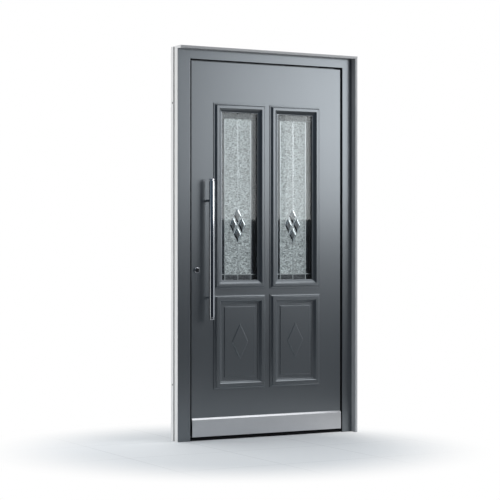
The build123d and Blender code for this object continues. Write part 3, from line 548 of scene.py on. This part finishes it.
cassettePanel = {
    "plate": 0.002, "border": 0.014, "fieldRise": 0.003, "fieldSlope": 0.0022, "fieldEase": 0.0010,
    "rhombusWide": 0.46, "rhombusTall": 0.48, "rhombusSlope": 0.0024, "rhombusEase": 0.0013,
    "easeSteps": 3, "easeAngle": 20,
}
fieldTop = cassettePanel["plate"] + cassettePanel["fieldRise"]
for side in sides:
    nodeName = f"{side}_cassette_panel"
    low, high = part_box(nodeName)
    size, middle = high - low, (low + high) / 2
    mesh, field = rectangle(size)
    stepFace(mesh, field, 0, cassettePanel["plate"])
    stepFace(mesh, field, cassettePanel["border"], 0)
    stepFace(mesh, field, cassettePanel["fieldSlope"], cassettePanel["fieldRise"])
    easeEdges(mesh, cassettePanel["fieldEase"], cassettePanel["easeSteps"], cassettePanel["easeAngle"])
    bmesh.ops.holes_fill(mesh, edges=[edge for edge in mesh.edges if edge.is_boundary], sides=0)
    rhombus = bmesh.new()
    bmesh.ops.create_circle(rhombus, cap_ends=True, segments=4, radius=0.5)
    rhombusSize = (size.x * cassettePanel["rhombusWide"], size.z * cassettePanel["rhombusTall"], 1)
    bmesh.ops.scale(rhombus, vec=rhombusSize, verts=rhombus.verts)
    bmesh.ops.translate(rhombus, vec=(0, 0, fieldTop), verts=rhombus.verts)
    rhombus.faces.ensure_lookup_table()
    stepFace(rhombus, rhombus.faces[0], cassettePanel["rhombusSlope"], size.y - fieldTop)
    easeEdges(rhombus, cassettePanel["rhombusEase"], cassettePanel["easeSteps"], cassettePanel["easeAngle"])
    addMesh(mesh, rhombus)
    bmesh.ops.rotate(mesh, cent=(0, 0, 0), matrix=Matrix.Rotation(radians(90), 3, "X"), verts=mesh.verts)
    bmesh.ops.translate(mesh, vec=(middle.x, high.y, middle.z), verts=mesh.verts)
    bmesh.ops.recalc_face_normals(mesh, faces=mesh.faces)
    finishPiece(mesh, f"raised_{nodeName}", "leaf", slotOf[nodeName], [nodeName])
print("diamonds and cassette panels made")


# Mouldings: a section stepped inwards round a rectangle, so the corners come out mitred

mouldingSection = {  # run inwards, height over the leaf and rounding of each point, in millimetres
    "outer": [
        (0, 4, 0.8), (5, 4, 0.9), (10.8, 7.8, 3.6), (14, 14, 1.3), (28, 14, 1.5), (32, 9, 1.6),
        (39.6, 4.3, 4.0), (48, 1, 0.7), (50, 1, 0.5), (50, -3, 0),
    ],
    "cassette": [
        (0, 4, 0.8), (5, 4, 0.9), (10.8, 7.8, 3.6), (14, 14, 1.3), (31, 14, 1.2), (34, 11.5, 1.2),
        (42, 2, 0.8), (50, 1, 0.4), (50, -3, 0),
    ],
    "inner": [
        (0, 3, 0.8), (5, 8, 1.4), (41, 8, 2.2), (50, -24, 0),
    ],
}
moulding = {"roundSteps": 4, "sharp": 22}


def mouldingFrame(section, lowCorner, highCorner, baseY, facing):
    mesh, field = rectangle(highCorner - lowCorner)
    run, rise = 0, 0
    rings = []
    for toRun, toRise, rounding in section:
        stepFace(mesh, field, (toRun - run) / 1000, (toRise - rise) / 1000)
        run, rise = toRun, toRise
        if rounding:
            rings.append((list(field.edges), rounding / 1000))
    for edges, rounding in rings:
        roundOver(mesh, edges, rounding, moulding["roundSteps"])
    bmesh.ops.delete(mesh, geom=[field], context="FACES_ONLY")
    rims = [edge for edge in mesh.edges if edge.is_boundary]
    bmesh.ops.bridge_loops(mesh, edges=rims)  # closes the back
    turn = Matrix.Rotation(radians(-90 * facing), 4, "X")
    bmesh.ops.transform(mesh, matrix=turn, verts=mesh.verts)
    middle = (lowCorner + highCorner) / 2
    bmesh.ops.translate(mesh, vec=(middle.x, baseY, middle.z), verts=mesh.verts)
    bmesh.ops.recalc_face_normals(mesh, faces=mesh.faces)
    return mesh


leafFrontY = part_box("outer_skin")[0].y
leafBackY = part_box("inner_skin")[1].y
for side in sides:
    for part, section, baseY, facing in (
        ("outer_moulding", "outer", leafFrontY, -1),
        ("cassette_moulding", "cassette", leafFrontY, -1),
        ("inner_moulding", "inner", leafBackY, 1),
    ):
        nodeName = f"{side}_{part}"
        low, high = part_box(nodeName)
        mesh = mouldingFrame(mouldingSection[section], low, high, baseY, facing)
        finishPiece(mesh, "run_" + nodeName, "leaf", slotOf[nodeName], [nodeName], moulding["sharp"])
print("mouldings run")


# Pull bar: polished tube on two posts, with necked caps

pullBar = {
    "tubeEase": 0.0006, "neck": 0.0090, "neckHeight": 0.006,
    "capHeight": 0.012, "capEdge": 0.0022, "capSteps": 4, "rimAngle": 45,
    "post": 0.0065, "postSteps": 40,
}
low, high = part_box("handle_bar")
barX, barY = (low.x + high.x) / 2, (low.y + high.y) / 2
radius, neck = min(high.x - low.x, high.y - low.y) / 2, pullBar["neck"]
mesh = turned([(0, low.z), (radius, low.z), (radius, high.z), (0, high.z)], (barX, barY, 0), (0, 0, 1))
easeEdges(mesh, pullBar["tubeEase"])
finishPiece(mesh, "pull_bar_tube", "leaf", "polished_steel", ["handle_bar"])

capMesh = bmesh.new()
for face, way in ((low.z, -1), (high.z, 1)):
    neckEnd = face + way * pullBar["neckHeight"]
    capEnd = face + way * pullBar["capHeight"]
    outline = [(0, face), (neck, face), (neck, neckEnd), (radius, neckEnd), (radius, capEnd), (0, capEnd)]
    cap = turned(outline, (barX, barY, 0), (0, 0, 1))
    rim = [edge for edge in edgesAt(cap, 2, capEnd) if edge.calc_face_angle(0.0) > radians(pullBar["rimAngle"])]
    roundOver(cap, rim, pullBar["capEdge"], pullBar["capSteps"])
    addMesh(capMesh, cap)
finishPiece(capMesh, "pull_bar_caps", "leaf", "polished_steel", ["handle_end_caps"])

postMesh = bmesh.new()
postLow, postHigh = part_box("handle_posts")
for postZ in (postLow.z + pullBar["post"], postHigh.z - pullBar["post"]):
    outline = [(0, leafFrontY), (pullBar["post"], leafFrontY), (pullBar["post"], barY), (0, barY)]
    addMesh(postMesh, turned(outline, (barX, 0, postZ), (0, 1, 0), pullBar["postSteps"]))
finishPiece(postMesh, "pull_bar_posts", "leaf", "polished_steel", ["handle_posts"])
print("pull bar made")


# Lock rosette and inside lever

rosette = {"outer": 0.0155, "bore": 0.0113, "edge": 0.0026, "edgeSteps": 5, "rimFrom": 0.015, "steps": 72}
low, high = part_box("cylinder_rosette")
lockX, lockZ = (low.x + high.x) / 2, (low.z + high.z) / 2
lockMiddle = Vector((lockX, lockZ))
outline = [
    (rosette["bore"], high.y), (rosette["outer"], high.y), (rosette["outer"], low.y), (rosette["bore"], low.y),
    (rosette["bore"], high.y),
]
mesh = turned(outline, (lockX, 0, lockZ), (0, 1, 0), rosette["steps"])
rim = [edge for edge in edgesAt(mesh, 1, low.y)
       if all((vert.co.xz - lockMiddle).length > rosette["rimFrom"] for vert in edge.verts)]
roundOver(mesh, rim, rosette["edge"], rosette["edgeSteps"])
finishPiece(mesh, "lock_rosette", "leaf", "polished_steel", ["cylinder_rosette"])

lever = {"radius": 0.009, "segments": 56, "mitreEase": 0.0012, "mitreSteps": 3, "mitreAngle": 30}
low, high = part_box("lever_handle")
spindleX, leverY, leverZ = low.x + lever["radius"], high.y - lever["radius"], (low.z + high.z) / 2
mesh = bmesh.new()
bmesh.ops.create_circle(mesh, cap_ends=True, segments=lever["segments"], radius=lever["radius"])
bmesh.ops.rotate(mesh, cent=(0, 0, 0), matrix=Matrix.Rotation(radians(-90), 3, "X"), verts=mesh.verts)
bmesh.ops.translate(mesh, vec=(spindleX, low.y, leverZ), verts=mesh.verts)
mesh.faces.ensure_lookup_table()
end = mesh.faces[0]
for stage in ("neck", "grip"):
    grown = bmesh.ops.extrude_face_region(mesh, geom=[end])["geom"]
    if stage == "grip":
        bmesh.ops.delete(mesh, geom=[end], context="FACES_ONLY")
    end = [item for item in grown if isinstance(item, bmesh.types.BMFace)][0]
    for vert in end.verts:
        if stage == "neck":
            vert.co.y = leverY - (vert.co.x - spindleX)  # the mitre
        else:
            vert.co.x = high.x
bmesh.ops.recalc_face_normals(mesh, faces=mesh.faces)
easeEdges(mesh, lever["mitreEase"], lever["mitreSteps"], lever["mitreAngle"])
finishPiece(mesh, "lever_grip", "lever", "satin_steel", ["lever_handle"])
print("lock furniture made")


# Small fasteners: raised screw heads with a round socket

screw = {
    "radius": 0.0042, "segments": 18, "height": 0.0011, "skirt": 0.0003, "skirtShare": 0.7,
    "crown": 0.0008, "crownShare": 0.3, "socket": 0.0019, "depth": 0.0009, "cone": 0.0008, "coneDepth": 0.0002,
}
screwSteps = (  # run and rise from the rim to the bottom of the socket
    (screw["skirt"], screw["height"] * screw["skirtShare"]),
    (screw["crown"], screw["height"] * screw["crownShare"]),
    (screw["radius"] - screw["skirt"] - screw["crown"] - screw["socket"], 0.0),
    (0.0, -screw["depth"]),
    (screw["cone"], -screw["coneDepth"]),
)


def screwHeads(places, facing):  # heads at the given points, facing along a unit vector
    mesh = bmesh.new()
    spin = Vector((0, 0, 1)).rotation_difference(Vector(facing)).to_matrix().to_4x4()
    for point in places:
        head = bmesh.new()
        bmesh.ops.create_circle(head, cap_ends=True, segments=screw["segments"], radius=screw["radius"])
        head.faces.ensure_lookup_table()
        face = head.faces[0]
        for run, rise in screwSteps:
            stepFace(head, face, run, rise)
        bmesh.ops.transform(head, matrix=Matrix.Translation(point) @ spin, verts=head.verts)
        addMesh(mesh, head)
    return mesh


hingeScrews = {
    "middles": (0.190, 1.020, 1.850), "offsets": (-0.042, -0.014, 0.014, 0.042),  # heights
    "fromEdge": 0.016, "stagger": 0.007, "plate": 0.004,
}
for nodeName, body in (("hinge_leaf_halves", "leaf"), ("hinge_frame_halves", "frame")):
    low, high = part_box(nodeName)
    plateX = low.x + hingeScrews["fromEdge"] if body == "leaf" else high.x - hingeScrews["fromEdge"]
    plateY = leafBackY + hingeScrews["plate"]
    places = [
        (plateX + hingeScrews["stagger"] * (1 if index % 2 else -1), plateY, middle + offset)
        for middle in hingeScrews["middles"] for index, offset in enumerate(hingeScrews["offsets"])
    ]
    finishPiece(screwHeads(places, (0, 1, 0)), f"screws_{nodeName}", body, "satin_steel")

plateScrews = {"backplateEnd": 0.014, "faceplateEnd": 0.006}  # from the plate's ends
low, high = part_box("inner_backplate")
heights = (low.z + plateScrews["backplateEnd"], high.z - plateScrews["backplateEnd"])
places = [((low.x + high.x) / 2, high.y, height) for height in heights]
finishPiece(screwHeads(places, (0, 1, 0)), "screws_backplate", "leaf", "satin_steel")
low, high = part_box("faceplate")
heights = (low.z + plateScrews["faceplateEnd"], high.z - plateScrews["faceplateEnd"])
places = [(low.x, (low.y + high.y) / 2, height) for height in heights]
finishPiece(screwHeads(places, (-1, 0, 0)), "screws_faceplate", "leaf", "lock_steel")
print("screws set")


# Stage: pale floor patch, studio room, soft lamps and the camera

def stageObject(mesh, name, finish):
    data = bpy.data.meshes.new(name)
    mesh.to_mesh(data)
    mesh.free()
    data.materials.append(finish)
    made = bpy.data.objects.new(name, data)
    scene.collection.objects.link(made)
    return made


def seenRays(wire):  # 1 for camera, glossy and transmission rays
    kinds = wire.node("ShaderNodeLightPath").socket.node.outputs
    camera, glossy, through = (
        Wire(wire.tree, kinds[f"Is {kind} Ray"]) for kind in ("Camera", "Glossy", "Transmission")
    )
    return wire.node("ShaderNodeClamp", values={0: camera + glossy + through})


floorLook = {
    "middle": (-0.40, -0.40, 0.0), "radius": 1.40, "segments": 96,
    "fade": (0.62, 1.34),  # the tiles give way to white between these radii
    "tile": (0.74, 0.765, 0.78, 1), "joint": (0.58, 0.60, 0.615, 1), "rough": 0.7,
    "tileSize": 0.55, "tileStart": (0.50, 0.52, 0.0), "jointWidth": 0.004, "jointSoft": 0.6,
    "stain": (0.66, 0.68, 0.69, 1), "stainScale": 4.0, "stainDetail": 3.0, "stainShare": 0.25,
}
floorFinish, wire = newFinish("floor_tiles")
place = wire.node("ShaderNodeTexCoord", out="Object")
reach = wire.node("ShaderNodeVectorMath", {"operation": "DISTANCE"}, {0: place, 1: floorLook["middle"]}, out="Value")
laid = wire.node("ShaderNodeMapping", values={"Vector": place, "Location": floorLook["tileStart"]})
tiles = wire.node("ShaderNodeTexBrick", {"offset": 0.0}, {
    "Vector": laid, "Scale": 1.0, "Brick Width": floorLook["tileSize"], "Row Height": floorLook["tileSize"],
    "Color1": floorLook["tile"], "Color2": floorLook["tile"],
    "Mortar": floorLook["joint"], "Mortar Size": floorLook["jointWidth"], "Mortar Smooth": floorLook["jointSoft"],
})
stain = noise(wire, place, floorLook["stainScale"], floorLook["stainDetail"]) * floorLook["stainShare"]
stone = wire.node("ShaderNodeBsdfPrincipled", values={
    "Base Color": mixColour(wire, stain, tiles, floorLook["stain"]), "Roughness": floorLook["rough"],
})
white = wire.node("ShaderNodeEmission", values={"Color": (1, 1, 1, 1), "Strength": 1.0})
fade = ramp(wire, reach, *floorLook["fade"]) * seenRays(wire)
both = wire.node("ShaderNodeMixShader", values={0: fade, 1: stone, 2: white})
wire.node("ShaderNodeOutputMaterial", values={"Surface": both})
mesh = bmesh.new()
bmesh.ops.create_circle(mesh, cap_ends=True, segments=floorLook["segments"], radius=floorLook["radius"])
bmesh.ops.translate(mesh, vec=floorLook["middle"], verts=mesh.verts)
floor = stageObject(mesh, "floor", floorFinish)

roomLook = {
    "radius": 12.0, "middle": (0, 0, 1.0),
    "front": (0.060, 0.084, 0.114, 1),
    "right": (0.80, 0.82, 0.85, 1), "rightFrom": (0.30, 0.90),
    "left": (0.17, 0.225, 0.285, 1), "leftFrom": (0.45, 0.85), "leftBehind": (-0.40, 0.05),
    "above": (0.85, 0.87, 0.90, 1), "aboveFrom": (0.45, 0.85),
    "back": (1.0, 1.0, 1.0, 1), "backFrom": (0.35, 0.65),
    "floorFront": (0.012, 0.016, 0.023, 1),
    "floorRight": (0.60, 0.63, 0.67, 1), "floorRightFrom": (0.50, 0.90), "floorBackFrom": (-0.16, 0.02),
    "horizon": (0.012, 0.05),  # where the room's floor gives way to its walls
}
roomFinish, wire = newFinish("studio_walls")
place = wire.node("ShaderNodeTexCoord", out="Object")
away = wire.node("ShaderNodeVectorMath", {"operation": "SUBTRACT"}, {0: place, 1: roomLook["middle"]})
direction = wire.node("ShaderNodeVectorMath", {"operation": "NORMALIZE"}, {0: away})
rightward, backward, upward = split(wire, direction)
leftShare = ramp(wire, 0 - rightward, *roomLook["leftFrom"]) * ramp(wire, backward, *roomLook["leftBehind"])
walls = mixColour(wire, ramp(wire, rightward, *roomLook["rightFrom"]), roomLook["front"], roomLook["right"])
walls = mixColour(wire, leftShare, walls, roomLook["left"])
walls = mixColour(wire, ramp(wire, upward, *roomLook["aboveFrom"]), walls, roomLook["above"])
floorShare = ramp(wire, rightward, *roomLook["floorRightFrom"])
ground = mixColour(wire, floorShare, roomLook["floorFront"], roomLook["floorRight"])
ground = mixColour(wire, ramp(wire, backward, *roomLook["floorBackFrom"]), ground, roomLook["back"])
room = mixColour(wire, ramp(wire, upward, *roomLook["horizon"]), ground, walls)
room = mixColour(wire, ramp(wire, backward, *roomLook["backFrom"]), room, roomLook["back"])
surface(wire, {
    "Base Color": (0, 0, 0, 1), "Roughness": 1.0, "Specular IOR Level": 0.0,
    "Emission Color": room, "Emission Strength": 1.0,
})
mesh = bmesh.new()
bmesh.ops.create_icosphere(mesh, subdivisions=4, radius=roomLook["radius"])
bmesh.ops.reverse_faces(mesh, faces=mesh.faces)
bmesh.ops.translate(mesh, vec=roomLook["middle"], verts=mesh.verts)
roomShell = stageObject(mesh, "studio_room", roomFinish)  # soft light from all round, mirrored in metal and paint
roomShell.visible_camera = False
roomShell.visible_transmission = False

world = bpy.data.worlds.new("white_background")
scene.world = world
world.use_nodes = True
world.node_tree.nodes.clear()
wire = Wire(world.node_tree)
glow = wire.node("ShaderNodeBackground", values={"Color": (1, 1, 1, 1), "Strength": 1.0})
wire.node("ShaderNodeOutputWorld", values={"Surface": glow})

lamps = {
    "softbox_right": {"place": (2.7, -2.7, 2.1), "aim": (0.6, 0.0, 2.1), "size": (3.6, 1.7), "watts": 38},
    "softbox_low": {"place": (2.7, -2.7, 0.85), "aim": (0.6, 0.0, 0.85), "size": (3.6, 0.8), "watts": 0.8},
    "softbox_far_right": {"place": (3.02, -2.385, 2.1), "aim": (0.92, 0.315, 2.1), "size": (2.7, 1.7), "watts": 17},
    "softbox_above": {"place": (1.95, -0.6, 3.6), "aim": (1.85, -0.5, 0.0), "size": (2.8, 1.6), "watts": 24},
    "softbox_left_behind": {"place": (-3.2, 1.6, 1.5), "aim": (-0.55, 0.0, 1.1), "size": (1.5, 2.2), "watts": 34},
    "softbox_behind": {"place": (-1.9, 4.0, 3.1), "aim": (0.0, 0.0, 1.1), "size": (2.4, 2.2), "watts": 36},
}
for lampName, look in lamps.items():
    light = bpy.data.lights.new(lampName, "AREA")
    light.shape = "RECTANGLE"
    light.size, light.size_y = look["size"]
    light.energy = look["watts"]
    lamp = bpy.data.objects.new(lampName, light)
    lamp.location = look["place"]
    aim = Vector(look["aim"]) - Vector(look["place"])
    lamp.rotation_euler = aim.to_track_quat("-Z", "Y").to_euler()
    lamp.visible_camera = False
    scene.collection.objects.link(lamp)

cameraLook = {"place": (-4.375, -7.824, 1.023), "turn": -28.70, "lens": 117.9, "sensor": 36, "shiftY": -0.002}
view = bpy.data.cameras.new("photo_view")
view.lens = cameraLook["lens"]
view.sensor_width = cameraLook["sensor"]
view.shift_y = cameraLook["shiftY"]
eye = bpy.data.objects.new("photo_view", view)
eye.location = cameraLook["place"]
eye.rotation_euler = (radians(90), 0, radians(cameraLook["turn"]))
scene.collection.objects.link(eye)
scene.camera = eye
print("stage set")
